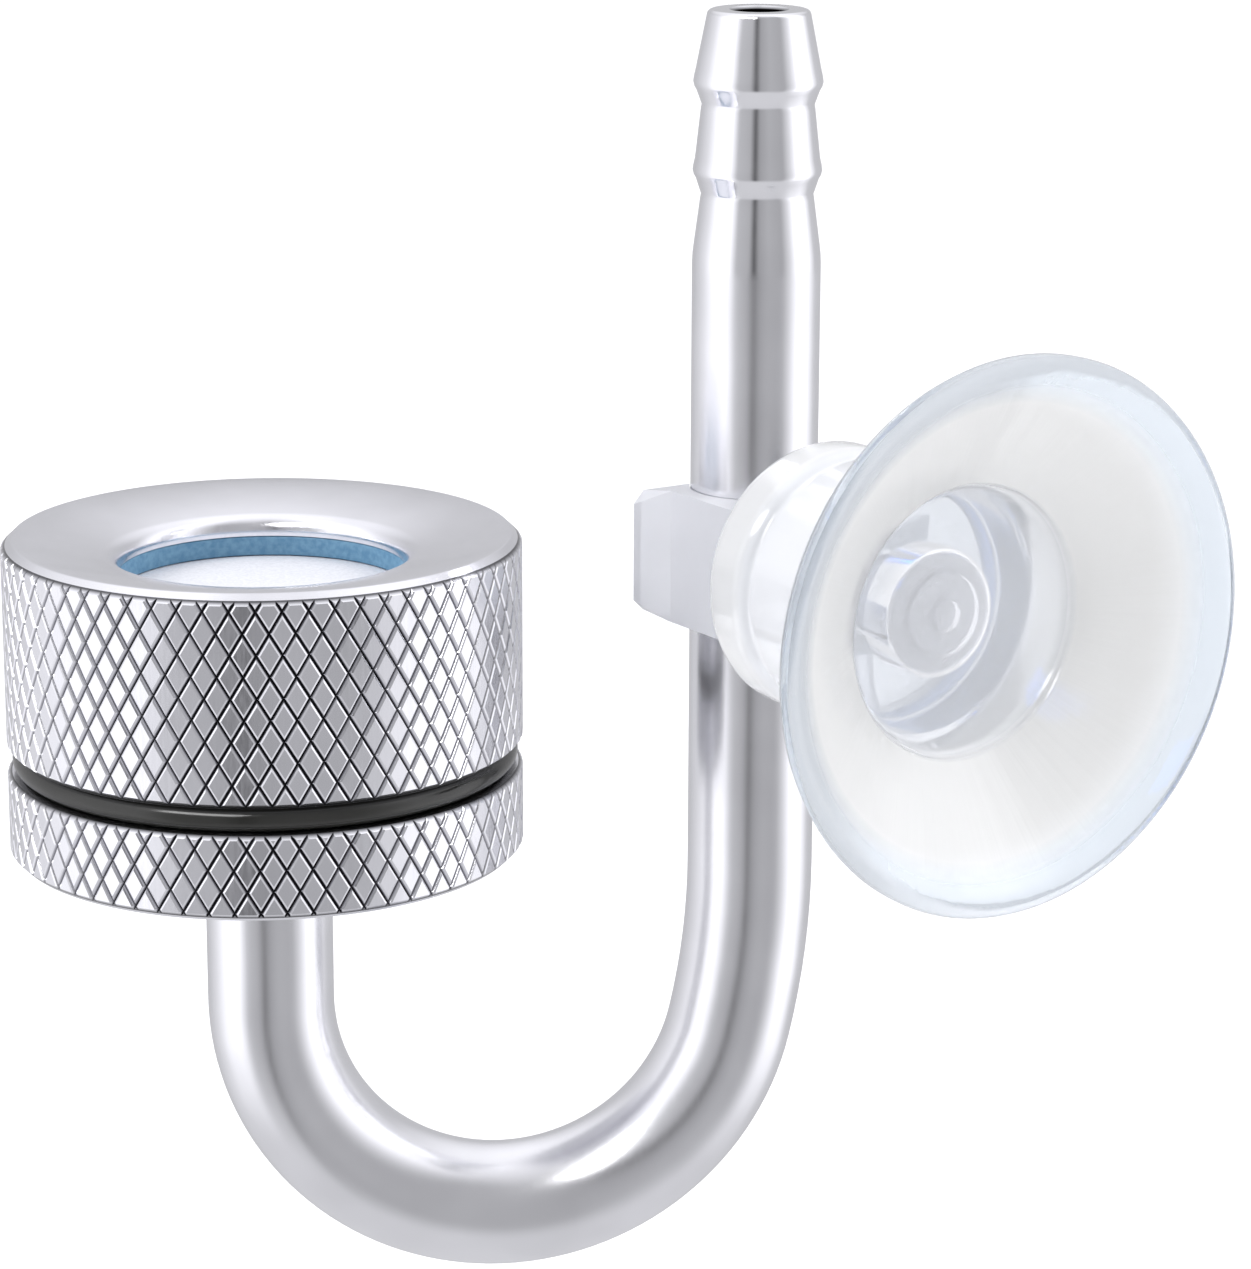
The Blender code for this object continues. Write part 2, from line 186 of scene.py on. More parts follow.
# Suction cup, as distances from the glass plane; outlines are (radius, distance)
RIM_RADIUS = 10.45
RIM_FLAT = 0.35
WELL_RADIUS = 5.2
WELL_ROUND = 0.4
WELL_SIDE = 3.15
WELL_FLOOR = ((0, 3.45), (1.3, 3.5), (2.6, 3.6), (4.2, 3.6), (4.75, 3.56))
HOLLOW_CONE = ((5.22, 3.08), (5.3, 3.0), (6.3, 2.36), (7.3, 1.7), (8.2, 1.16), (9.0, 0.72), (9.6, 0.34))
RIM_EDGE = ((10.45, 0.0), (10.5, 0.12), (10.49, 0.35), (10.37, 0.6))
SKIRT_BACK = ((10.0, 0.98), (9.3, 1.68), (8.6, 2.38), (7.9, 3.12), (7.2, 3.86), (6.6, 4.56),
              (6.1, 5.2), (5.65, 5.85), (5.25, 6.5))
HUB_START = 6.2
HUB_SIDE = ((5.0, 7.0), (4.97, 7.3), (5.0, 9.5), (4.94, 9.7))
HUB_BACK = cad("suction_cup")[1].y
HUB_GROOVE = (5.02, 10.0)
HUB_GROOVE_ROUND = 0.2
HUB_BEAD = ((5.19, 10.42), (5.25, 10.7))
HUB_BACK_ROUND = 0.9
SOCKET_PLAY = 0.1
SOCKET_MOUTH = 0.2

# Materials: metals are (colour, roughness), milky ones (colour, roughness, IOR, transmission).
# A groove carries painted shade, full at the first share of its depth, gone at the second and below
# its limit; the polish starts and is full at these heights from the barb's end
KNURLED_METAL = ((0.82, 0.82, 0.86), 0.2)
DRAWN_METAL = ((0.83, 0.83, 0.86), 0.25)
# Painted shade colour for the knurl's grooves
GROOVE_SHADE_COLOUR = (0.13, 0.13, 0.14)
GROOVE_SHADE_FADE = (0.9, 0.15)
GROOVE_SHADE_LIMIT = 1.2
BARB_POLISH = 0.55
POLISH_FADE = (-0.6, -0.2)
# Painted shade inside the tube's bore
BORE_SHADE_COLOUR = (0.02, 0.02, 0.02)
BLUE_TONES = ((0.1, 0.245, 0.39), (0.16, 0.325, 0.47))
CERAMIC_TONES = ((0.7, 0.71, 0.75), (0.79, 0.8, 0.84))
RUBBER_COLOUR = (0.02, 0.02, 0.018)
RUBBER_GLOSS = (0.12, 0.19)
SEAT_SILICONE = ((0.75, 0.78, 0.82), 0.3, 1.41, 0.6)
CLIP_PLASTIC = ((0.86, 0.87, 0.91), 0.3, 1.49, 0.35)

# The part of a noise's values that a roughness or a tone is spread over
ROUGHNESS_SPREAD = (0.3, 0.7)
TONE_SPREAD = (0.35, 0.65)

# Suction cup's silicone: (radius, transmission, colour) outwards, where the last colour is painted
# shade at the rim, the hub's transmission, where the flow marks fade in about the well's radius,
# how far the hub fades in, depth tint
CUP_CLARITY_AND_RIM_SHADE = (
    (5.1, 0.72, (0.96, 0.97, 0.99)),
    (5.3, 0.4, (0.86, 0.86, 0.85)),
    (8.6, 0.4, (0.86, 0.86, 0.85)),
    # The edge's bluish grey is painted shade for the darker look through the thick rim
    (9.4, 0.74, (0.78, 0.83, 0.88)),
)
HUB_CLARITY = 0.35
SILICONE_IOR = 1.41
SILICONE_GLOSS = 0.08
SILICONE_COAT = 0.6
FLOW_FADE = (-0.7, 0.8)
HUB_FADE = 0.6
DEPTH_COLOUR = (0.45, 0.72, 0.95)
DEPTH_DENSITY = 12

# Studio brightness round the object, by degrees to the right of the camera's side
STUDIO_SECTORS = (
    (-180, 0.6), (-150, 0.62), (-128, 0.76), (-108, 0.95), (-88, 1.35), (-54, 1.5), (-38, 0.58),
    (-15, 0.52), (-6, 0.08), (2, 0.42), (20, 0.52), (46, 0.46), (62, 0.9), (76, 1.5), (104, 1.45),
    (126, 0.68), (150, 0.62), (180, 0.6),
)
STUDIO_BRIGHTEST = 1.6
STUDIO_TINT = (0.97, 0.97, 1.0)

# Ceiling and underside: brightness, lean away from the camera in degrees, and the share of a
# direction along that leaning axis where each starts and is full
STUDIO_ENDS = ((1.28, 18, 0.53, 0.98), (0.75, 0, -0.45, -0.75))

# Panels: name, degrees to the right of the camera's side, elevation, (width, height) in metres, watts
SOFT_PANELS = (
    ("left_panel", -70, 35, (0.2, 0.2), 0.85),
    ("right_panel", 80, 35, (0.2, 0.2), 0.85),
)
SHEEN_PANEL = ("sheen_panel", -30, 41, (0.3, 0.14), 1.1)
PANEL_DISTANCE = 0.5

# Floor: half its side and its depth below the object in metres, its two tones, its own light
FLOOR_HALF = 3.0
FLOOR_DROP = 0.012
FLOOR_TONES = ((0.895, 0.895, 0.895), (0.9, 0.9, 0.9))
FLOOR_GLOW = 0.15

# Camera: the point it looks at, its angles in degrees, its distance, its lens
AIM = (-4.63, 18.63, -3.2)
CAMERA_AZIMUTH = -34.24
CAMERA_ELEVATION = 14.77
CAMERA_ROLL = 0.19
CAMERA_DISTANCE = 165.3
CAMERA_LENS = 120.5


# ---------------------------------------------------------------- mesh helpers

def new_piece(name, mesh, body, material, nodes=(), axis=(0, 0)):
    """Show a mesh made about a vertical axis at the given plan point, riding on a CAD body."""
    mesh.transform(Matrix.Scale(MM, 4))
    mesh.materials.clear()
    mesh.materials.append(material)
    piece = bpy.data.objects.new(name, mesh)
    piece.location = (axis[0] * MM, axis[1] * MM, 0)
    bpy.context.scene.collection.objects.link(piece)
    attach(piece, body)
    if nodes:
        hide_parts(*nodes)
    return piece


def smooth(mesh, degrees=SHARP_ANGLE):
    mesh.shade_smooth()
    mesh.set_sharp_from_angle(angle=math.radians(degrees))
    return mesh


def finish_mesh(name, bm):
    bmesh.ops.remove_doubles(bm, verts=bm.verts, dist=WELD)
    bmesh.ops.recalc_face_normals(bm, faces=bm.faces)
    mesh = bpy.data.meshes.new(name)
    bm.to_mesh(mesh)
    bm.free()
    return mesh


def turned(name, profile_at, closed=True, steps=FINE):
    """Turn a (radius, height) profile about Z; the profile may change with the angle."""
    bm = bmesh.new()
    columns = []
    for step in range(steps + 1):
        angle = 2 * math.pi * step / steps
        spoke = Vector((math.cos(angle), math.sin(angle), 0))
        points = profile_at(angle)
        columns.append([bm.verts.new(spoke * r + Vector((0, 0, h))) for r, h in points])
    count = len(columns[0])
    last = count if closed else count - 1
    for one, two in zip(columns, columns[1:]):
        for i in range(last):
            j = (i + 1) % count
            bm.faces.new((one[i], two[i], two[j], one[j]))
    return smooth(finish_mesh(name, bm))


def plain(points):
    return lambda angle: points


def arc(centre, radius, start, end, steps=6):
    """Points on an arc; angles in degrees."""
    turns = (math.radians(start + (end - start) * k / steps) for k in range(steps + 1))
    return [(centre[0] + radius * math.cos(t), centre[1] + radius * math.sin(t)) for t in turns]


def thread(angle, span, root, crest, end_radius):
    """Thread points up a right-hand helix, cut flat at both ends of the span."""
    low, high = span
    points = []
    for turn in range(math.floor(low / PITCH) - 1, math.ceil(high / PITCH) + 1):
        for part, rise in THREAD_FORM:
            height = PITCH * (turn + part + angle / (2 * math.pi))
            radius = root + (crest - root) * rise
            if height <= low or height >= high:
                radius = end_radius
            points.append((radius, min(max(height, low), high)))
    return [(end_radius, low)] + points + [(end_radius, high)]


def rounded_ring(bore, radius, low, high, rounding):
    """A flat ring's section with rounded corners."""
    corners = (
        ((radius - rounding, low + rounding), -90),
        ((radius - rounding, high - rounding), 0),
        ((bore + rounding, high - rounding), 90),
        ((bore + rounding, low + rounding), 180),
    )
    return [p for centre, start in corners for p in arc(centre, rounding, start, start + 90, 4)]


def to_cup_axis(mesh):
    """Turn a mesh made about Z so that its height runs along +Y."""
    mesh.transform(Matrix.Rotation(math.radians(-90), 4, "X"))
    return mesh


def booleaned(mesh, tool, operation):
    """The mesh after one exact Boolean with the tool."""
    body = bpy.data.objects.new("body", mesh)
    cutter = bpy.data.objects.new("cutter", tool)
    for thing in (body, cutter):
        bpy.context.scene.collection.objects.link(thing)
    step = body.modifiers.new("boolean", "BOOLEAN")
    step.operation = operation
    step.solver = "EXACT"
    step.object = cutter
    graph = bpy.context.evaluated_depsgraph_get()
    made = bpy.data.meshes.new_from_object(body.evaluated_get(graph))
    for thing in (body, cutter):
        bpy.data.objects.remove(thing)
    return made


# ---------------------------------------------------------------- diffuser head

def knurled_bar(low, high):
    """A closed bar, longer than asked, with flat-topped diamonds between two sets of V grooves."""
    bm = bmesh.new()
    half = KNURL_HEIGHT / 2
    first = math.floor(low / half) - 2
    last = math.ceil(high / half) + 2

    def point(column, row, radius):
        angle = 2 * math.pi * column / KNURL_COUNT
        return Vector((radius * math.cos(angle), radius * math.sin(angle), row * half))

    floor_radius = HEAD_RADIUS - KNURL_DEPTH
    nodes = {}
    for row in range(first, last + 1):
        for k in range(KNURL_COUNT):
            nodes[row, k] = bm.verts.new(point(k + 0.5 * (row % 2), row, floor_radius))

    reach = ((0, -1), (0.5, 0), (0, 1), (-0.5, 0))
    for row in range(first, last - 1):
        for k in range(KNURL_COUNT):
            centre = k + 0.5 * (row % 2)
            right = (k + row % 2) % KNURL_COUNT
            corners = (nodes[row, k], nodes[row + 1, right],
                       nodes[row + 2, k], nodes[row + 1, (right - 1) % KNURL_COUNT])
            lower = list(corners)
            for share, drop in KNURL_RINGS:
                upper = [bm.verts.new(point(centre + share * x, row + 1 + share * y, HEAD_RADIUS - drop))
                         for x, y in reach]
                bridge(bm, lower, upper)
                lower = upper
            bm.faces.new(lower)

    for level in (first - 1, last + 1):
        ends = [e for e in bm.edges if e.is_boundary and abs(e.verts[0].co.z - level * half) < 3 * half]
        made = bmesh.ops.extrude_edge_only(bm, edges=ends)["geom"]
        rim = [v for v in made if isinstance(v, bmesh.types.BMVert)]
        for vertex in rim:
            vertex.co.z = level * half
        loop = [e for e in made if isinstance(e, bmesh.types.BMEdge) and e.is_boundary]
        bmesh.ops.holes_fill(bm, edges=loop, sides=0)
    return finish_mesh("bar", bm)


def cap_profile(angle):
    """The cap's section, as a blank wider than the knurled bar that trims it."""
    top = CAP_HIGH.z
    bottom = CAP_LOW.z
    blank = HEAD_RADIUS + BLANK_EXTRA
    bore = THREAD_ROOT + THREAD_PLAY
    relief = THREAD_CREST + THREAD_PLAY
    lip_centre = (OPENING_RADIUS + LIP_ROUND, top - DISH_DROP - LIP_ROUND)
    lip = arc(lip_centre, LIP_ROUND, 180, 90 + DISH_SLOPE, 12)
    shoulder = HEAD_RADIUS - CAP_CHAMFER
    edge = [(shoulder + change, top + rise) for change, rise in CAP_TOP_EDGE]
    outside = [
        (blank, top - CAP_CHAMFER - BLANK_EXTRA),
        (blank, bottom + CAP_FOOT_CHAMFER + BLANK_EXTRA),
        (HEAD_RADIUS - CAP_FOOT_CHAMFER, bottom),
        (relief, bottom),
    ]
    inside = thread(angle, FEMALE_THREAD, bore, relief, relief)
    end = FEMALE_THREAD[1]
    above = [
        (relief, end + RUN_OUT),
        (bore, end + 2 * RUN_OUT),
        (bore, SHOULDER_Z),
        (OPENING_RADIUS, SHOULDER_Z),
    ]
    return edge + outside + inside + above + lip


def base_profile(angle):
    """The base's section: tube hole, seal groove, gas chamber, threaded spigot and flange."""
    top = FLANGE_TOP
    bottom = BASE_LOW.z
    blank = HEAD_RADIUS + BLANK_EXTRA
    hole = TUBE_RADIUS + TUBE_HOLE_PLAY
    pocket = bottom + TUBE_POCKET
    groove = HEAD_RADIUS - SEAL_WALL
    inside = [
        (hole + TUBE_HOLE_CHAMFER, bottom),
        (hole, bottom + TUBE_HOLE_CHAMFER),
        (hole, SEAL_LOW.z - SEAL_PLAY),
        (groove, SEAL_LOW.z - SEAL_PLAY),
        (groove, SEAL_HIGH.z + SEAL_PLAY),
        (hole, SEAL_HIGH.z + SEAL_PLAY),
        (hole, pocket),
        (BORE_RADIUS, pocket),
        (BORE_RADIUS, CHAMBER_FLOOR),
        (CHAMBER_RADIUS, CHAMBER_FLOOR),
        (CHAMBER_RADIUS, BASE_HIGH.z),
    ]
    spigot = [(THREAD_ROOT - SPIGOT_CHAMFER, BASE_HIGH.z), (THREAD_ROOT, BASE_HIGH.z - SPIGOT_CHAMFER)]
    down = thread(angle, MALE_THREAD, THREAD_ROOT, THREAD_CREST, THREAD_ROOT)[::-1]
    flange = [
        (THREAD_ROOT, top),
        (HEAD_RADIUS - BASE_TOP_CHAMFER, top),
        (blank, top - BASE_TOP_CHAMFER - BLANK_EXTRA),
        (blank, bottom + BASE_FOOT_CHAMFER + BLANK_EXTRA),
        (HEAD_RADIUS - BASE_FOOT_CHAMFER, bottom),
    ]
    return inside + spigot + down + flange


def build_head(metal, blue, ceramic, silicone, rubber):
    """Cap and base, each a turned blank trimmed by a knurled bar, then the disc and the seals."""
    for name, profile, body, slot, replaced in (
        ("cap_knurled", cap_profile, "cap", "cap_metal", "knurled_cap"),
        ("base_knurled", base_profile, "tube_and_base", "base_metal", "knurled_base"),
    ):
        low, high = cad(replaced)
        solid = booleaned(turned(name, profile), knurled_bar(low.z, high.z), "INTERSECT")
        new_piece(name, smooth(solid), body, metal, [replaced], HEAD_AXIS)

    gasket_radius = (GASKET_HIGH.x - GASKET_LOW.x) / 2
    gasket = rounded_ring(OPENING_RADIUS, gasket_radius, GASKET_LOW.z, GASKET_HIGH.z, GASKET_ROUND)
    new_piece("gasket_blue", turned("gasket_blue", plain(gasket)), "disc_and_gasket", blue,
              ["cap_gasket"], HEAD_AXIS)

    disc_edge = (DISC_HIGH.x - DISC_LOW.x) / 2 - DISC_ROUND
    disc = [
        (0, DISC_LOW.z),
        *arc((disc_edge, DISC_LOW.z + DISC_ROUND), DISC_ROUND, -90, 0, 4),
        *arc((disc_edge, DISC_HIGH.z - DISC_ROUND), DISC_ROUND, 0, 90, 4),
        (0, DISC_HIGH.z),
    ]
    new_piece("disc_ceramic", turned("disc_ceramic", plain(disc), closed=False), "disc_and_gasket",
              ceramic, ["ceramic_disc"], HEAD_AXIS)

    seat_radius = (SEAT_HIGH.x - SEAT_LOW.x) / 2
    seat = rounded_ring(CHAMBER_RADIUS, seat_radius, SEAT_LOW.z, SEAT_HIGH.z, SEAT_ROUND)
    new_piece("seat_gasket", turned("seat_gasket", plain(seat), steps=ROUND), "tube_and_base",
              silicone, ["disc_seat_gasket"], HEAD_AXIS)

    bore = THREAD_ROOT + RING_PLAY
    outer = (RING_HIGH.x - RING_LOW.x) / 2
    middle = (RING_LOW.z + RING_HIGH.z) / 2
    half = (RING_HIGH.z - RING_LOW.z) / 2
    ring = [(bore, RING_LOW.z), *arc((outer - half, middle), half, -90, 90, 12), (bore, RING_HIGH.z)]
    new_piece("ring_body", turned("ring_body", plain(ring)), "tube_and_base", rubber,
              ["body_o_ring"], HEAD_AXIS)

    seal_radius = (SEAL_HIGH.x - SEAL_LOW.x) / 2
    seal_bore = TUBE_RADIUS + SEAL_BORE_PLAY
    seal = rounded_ring(seal_bore, seal_radius, SEAL_LOW.z, SEAL_HIGH.z, SEAL_ROUND)
    new_piece("ring_tube_seal", turned("ring_tube_seal", plain(seal), steps=COARSE), "tube_and_base",
              rubber, ["tube_seal_ring"], HEAD_AXIS)


# ---------------------------------------------------------------- gas tube

def bend(centre, radius, start, end, steps):
    """(point, heading) down and round a bend in the tube's own plane, without its first point."""
    out = []
    for step in range(1, steps + 1):
        turn = start + (end - start) * step / steps
        spoke = Vector((math.cos(turn), 0, -math.sin(turn)))
        out.append((centre + radius * spoke, Vector((-math.sin(turn), 0, -math.cos(turn)))))
    return out


def tube_path():
    """(point, heading) from the start of the bend, round it and up into the base."""
    down = Vector((0, 0, -1))
    path = [(Vector((0, 0, BEND_START_Z)), down)]
    path += bend(Vector((-SLACK_RADIUS, 0, BEND_START_Z)), SLACK_RADIUS, 0, SLACK_ANGLE, SLACK_STEPS)
    start, heading = path[-1]
    main = start - MAIN_RADIUS * Vector((-heading.z, 0, heading.x))
    path += bend(main, MAIN_RADIUS, SLACK_ANGLE, math.pi, BEND_STEPS)
    end = path[-1][0]
    path.append((Vector((end.x, 0, BASE_LOW.z + TUBE_POCKET - TUBE_END_PLAY)), Vector((0, 0, 1))))
    return path


def barb_profile():
    """(radius, height) down the outside of the hose barb, tip first."""
    points = arc((TIP_RADIUS - TIP_ROUND, TUBE_TOP - TIP_ROUND), TIP_ROUND, 90, 8, 6)
    for ridge, neck in zip(RIDGE_Z, NECK_Z):
        points += [(TUBE_RADIUS + change, ridge + rise) for change, rise in RIDGE_SHAPE]
        points += [(NECK_RADIUS + change, neck + rise) for change, rise in NECK_SHAPE]
    return points + [(TUBE_RADIUS + change, BARB_END_Z + rise) for change, rise in SHOULDER_SHAPE]


def tube_loop(bm, point, heading, radius):
    """A circle of vertices square to the heading."""
    side = Vector((0, 1, 0))
    across = side.cross(heading)
    turns = (2 * math.pi * k / ROUND for k in range(ROUND))
    return [bm.verts.new(point + radius * (math.cos(t) * across + math.sin(t) * side)) for t in turns]


def bridge(bm, one, two):
    """Faces between two loops of the same length."""
    for i in range(len(one)):
        j = (i + 1) % len(one)
        bm.faces.new((one[i], one[j], two[j], two[i]))


def build_tube(metal):
    down = Vector((0, 0, -1))
    sections = [(Vector((0, 0, z)), down, r) for r, z in barb_profile()]
    top = sections[-1][0].z
    step = (BARB_END_Z - BEND_START_Z) / STRAIGHT_STEPS
    straight = [top - step * k for k in range(1, STRAIGHT_STEPS)]
    sections += [(Vector((0, 0, z)), down, TUBE_RADIUS) for z in straight]
    sections += [(point, heading, TUBE_RADIUS) for point, heading in tube_path()]
    mouth = [(Vector((0, 0, TUBE_TOP)), down, BORE_RADIUS + BORE_ROUND),
             (Vector((0, 0, TUBE_TOP - BORE_ROUND)), down, BORE_RADIUS)]
    bore = mouth + [(point, heading, BORE_RADIUS) for point, heading in tube_path()]
    bm = bmesh.new()
    shaded = bm.verts.layers.float.new("inside")
    outside = [tube_loop(bm, *section) for section in sections]
    inside = [tube_loop(bm, *section) for section in bore]
    for vertex in (v for loop in inside[1:] for v in loop):
        vertex[shaded] = 1.0
    for one, two in zip(outside, outside[1:]):
        bridge(bm, one, two)
    for one, two in zip(inside, inside[1:]):
        bridge(bm, two, one)
    bridge(bm, inside[0], outside[0])
    bridge(bm, outside[-1], inside[-1])
    mesh = finish_mesh("tube_gas", bm)
    mesh.transform(Matrix.Rotation(-SWIVEL, 4, "Z"))
    new_piece("tube_gas", smooth(mesh, degrees=40), "tube_and_base", metal, ["gas_tube"],
              (0, TUBE_AXIS_Y))


# ---------------------------------------------------------------- clip and cup

def clip_outline():
    """Plan of the clip about the tube's axis, +Y away from the cup, as one closed loop."""
    mouth = math.degrees(math.asin(CLIP_MOUTH / CLIP_BORE))
    bore = arc((0, 0), CLIP_BORE, 90 + mouth, 450 - mouth, 64)
    corner = (CLIP_HALF_WIDTH - CLIP_CORNER, CLIP_CORNER - CLIP_BACK)
    right = [LIP_INNER, LIP_TIP, (CLIP_HALF_WIDTH, LIP_START), *arc(corner, CLIP_CORNER, 0, -90, 6)]
    return bore + right + [(-x, y) for x, y in reversed(right)]


def clip_half_height(x, y):
    """Half the clip's height at a plan point; the flared lips taper to their tips."""
    share = (abs(x) - CLIP_HALF_WIDTH) / (LIP_TIP[0] - CLIP_HALF_WIDTH)
    if y <= LIP_START or share <= 0:
        return CLIP_HALF_HEIGHT
    return CLIP_HALF_HEIGHT - LIP_TAPER * min(share, 1.0)


def stud_profile():
    """(radius, distance from the glass) of the clip's stud, from its tip to its root in the clip."""
    start, end = STUD_HEAD_SPAN
    root = TUBE_AXIS_Y - CLIP_BACK + STUD_ROOT
    return [
        (0, STUD_TIP),
        *arc((STUD_NUB - STUD_ROUND, STUD_TIP + STUD_ROUND), STUD_ROUND, -90, 0, 3),
        (STUD_NUB, STUD_BOSS_END),
        *arc((STUD_BOSS - STUD_ROUND, STUD_BOSS_END + STUD_ROUND), STUD_ROUND, -90, 0, 3),
        (STUD_BOSS, start),
        *arc((STUD_HEAD - STUD_HEAD_ROUND, start + STUD_HEAD_ROUND), STUD_HEAD_ROUND, -90, 0, 6),
        (STUD_HEAD, end),
        (STUD_NECK, end),
        (STUD_NECK, root),
        (0, root),
    ]


def build_clip(plastic):
    bm = bmesh.new()
    loops = []
    for side in (-1, 1):
        loops.append([bm.verts.new((x, y + TUBE_AXIS_Y, side * clip_half_height(x, y)))
                      for x, y in clip_outline()])
    bridge(bm, *loops)
    ends = [bm.faces.new(loops[0]), bm.faces.new(loops[1])]
    bmesh.ops.triangulate(bm, faces=ends)
    body = finish_mesh("clip", bm)
    stud = to_cup_axis(turned("stud", plain(stud_profile()), closed=False, steps=ROUND))
    piece = new_piece("clip_tube", smooth(booleaned(body, stud, "UNION"), degrees=25), "clip",
                      plastic, ["tube_clip"])
    edges = piece.modifiers.new("edges", "BEVEL")
    edges.width = CLIP_EDGE * MM
    edges.segments = 3
    edges.limit_method = "ANGLE"
    edges.angle_limit = math.radians(SHARP_ANGLE)
    edges.harden_normals = True


def cup_profile():
    """(radius, distance from the glass) round the cup's section, from the hollow's centre."""
    back_round = (HUB_BEAD[-1][0] - HUB_BACK_ROUND, HUB_BACK - HUB_BACK_ROUND)
    return [
        *WELL_FLOOR,
        *arc((WELL_RADIUS - WELL_ROUND, WELL_SIDE), WELL_ROUND, 80, 0, 5),
        *HOLLOW_CONE,
        (RIM_RADIUS - RIM_FLAT, 0.0),
        *RIM_EDGE,
        *SKIRT_BACK,
        *HUB_SIDE,
        *arc(HUB_GROOVE, HUB_GROOVE_ROUND, 250, 110, 6),
        *HUB_BEAD,
        *arc(back_round, HUB_BACK_ROUND, 0, 90, 10),
        *socket_profile(),
    ]


def socket_profile():
    """The stud's outline with play all round, from the hub's back to the socket's bottom."""
    neck, head, boss, nub = (r + SOCKET_PLAY for r in (STUD_NECK, STUD_HEAD, STUD_BOSS, STUD_NUB))
    back = STUD_HEAD_SPAN[1] + SOCKET_PLAY
    front, boss_end, tip = (y - SOCKET_PLAY for y in (STUD_HEAD_SPAN[0], STUD_BOSS_END, STUD_TIP))
    round_y = front + STUD_HEAD_ROUND
    return [
        (neck + SOCKET_MOUTH, HUB_BACK),
        (neck, HUB_BACK - SOCKET_MOUTH),
        (neck, back),
        (head, back),
        *arc((head - STUD_HEAD_ROUND, round_y), STUD_HEAD_ROUND, 0, -90, 6),
        (boss, front),
        (boss, boss_end),
        (nub, boss_end),
        (nub, tip),
        (0, tip),
    ]


def build_cup(silicone):
    """The cup; it is left out of reflections so that the polished tube beside it stays clean."""
    mesh = to_cup_axis(turned("cup_suction", plain(cup_profile()), closed=False))
    cup = new_piece("cup_suction", smooth(mesh, degrees=38), "cup", silicone, ["suction_cup"])
    cup.visible_glossy = False


# ---------------------------------------------------------------- materials

def node(tree, kind, **values):
    made = tree.nodes.new(kind)
    for key, value in values.items():
        setattr(made, key, value)
    return made


def shader_of(name, colour, roughness, metallic=0.0, **sockets):
    """A material and its shader, with constant values set on the shader's own sockets."""
    material = bpy.data.materials.new(name)
    material.use_nodes = True
    shader = material.node_tree.nodes["Principled BSDF"]
    shader.inputs["Base Color"].default_value = (*colour, 1.0)
    shader.inputs["Roughness"].default_value = roughness
    shader.inputs["Metallic"].default_value = metallic
    for key, value in sockets.items():
        shader.inputs[key.replace("_", " ")].default_value = value
    return material, shader


def noise(tree, scale, detail=3.0, stretch=(1, 1, 1)):
    """Noise in the piece's own space; the scale is per metre."""
    place = node(tree, "ShaderNodeTexCoord")
    squeeze = node(tree, "ShaderNodeMapping")
    squeeze.inputs["Scale"].default_value = stretch
    made = node(tree, "ShaderNodeTexNoise")
    made.inputs["Scale"].default_value = scale
    made.inputs["Detail"].default_value = detail
    tree.links.new(place.outputs["Object"], squeeze.inputs["Vector"])
    tree.links.new(squeeze.outputs["Vector"], made.inputs["Vector"])
    return made


def vary(tree, source, low, high, target):
    """Run a 0 to 1 value into a socket between two numbers."""
    spread = node(tree, "ShaderNodeMapRange")
    spread.inputs["From Min"].default_value = ROUGHNESS_SPREAD[0]
    spread.inputs["From Max"].default_value = ROUGHNESS_SPREAD[1]
    spread.inputs["To Min"].default_value = low
    spread.inputs["To Max"].default_value = high
    tree.links.new(source, spread.inputs["Value"])
    tree.links.new(spread.outputs["Result"], target)


def tint(tree, source, dark, light, target):
    """Run a 0 to 1 value into a colour socket between two colours."""
    ramp = node(tree, "ShaderNodeValToRGB")
    ramp.color_ramp.elements[0].position = TONE_SPREAD[0]
    ramp.color_ramp.elements[1].position = TONE_SPREAD[1]
    ramp.color_ramp.elements[0].color = (*dark, 1.0)
    ramp.color_ramp.elements[1].color = (*light, 1.0)
    tree.links.new(source, ramp.inputs["Fac"])
    tree.links.new(ramp.outputs["Color"], target)


def bump(tree, source, shader, strength, distance):
    made = node(tree, "ShaderNodeBump")
    made.inputs["Strength"].default_value = strength
    made.inputs["Distance"].default_value = distance
    tree.links.new(source, made.inputs["Height"])
    tree.links.new(made.outputs["Normal"], shader.inputs["Normal"])


def aluminium(name, colour, roughness, stretch, marking):
    """Bright satin aluminium: fine machining marks in its roughness, tone and relief."""
    material, shader = shader_of(name, colour, roughness, metallic=1.0)
    tree = material.node_tree
    marks = noise(tree, scale=9000, detail=4.0, stretch=stretch)
    vary(tree, marks.outputs["Fac"], roughness - 0.05 * marking, roughness + 0.06 * marking,
         shader.inputs["Roughness"])
    cloud = noise(tree, scale=260, detail=2.0)
    light = tuple(min(1.0, c * 1.03) for c in colour)
    dark = tuple(c * 0.96 for c in colour)
    tint(tree, cloud.outputs["Fac"], dark, light, shader.inputs["Base Color"])
    bump(tree, marks.outputs["Fac"], shader, strength=0.12 * marking, distance=0.00001)
    return material


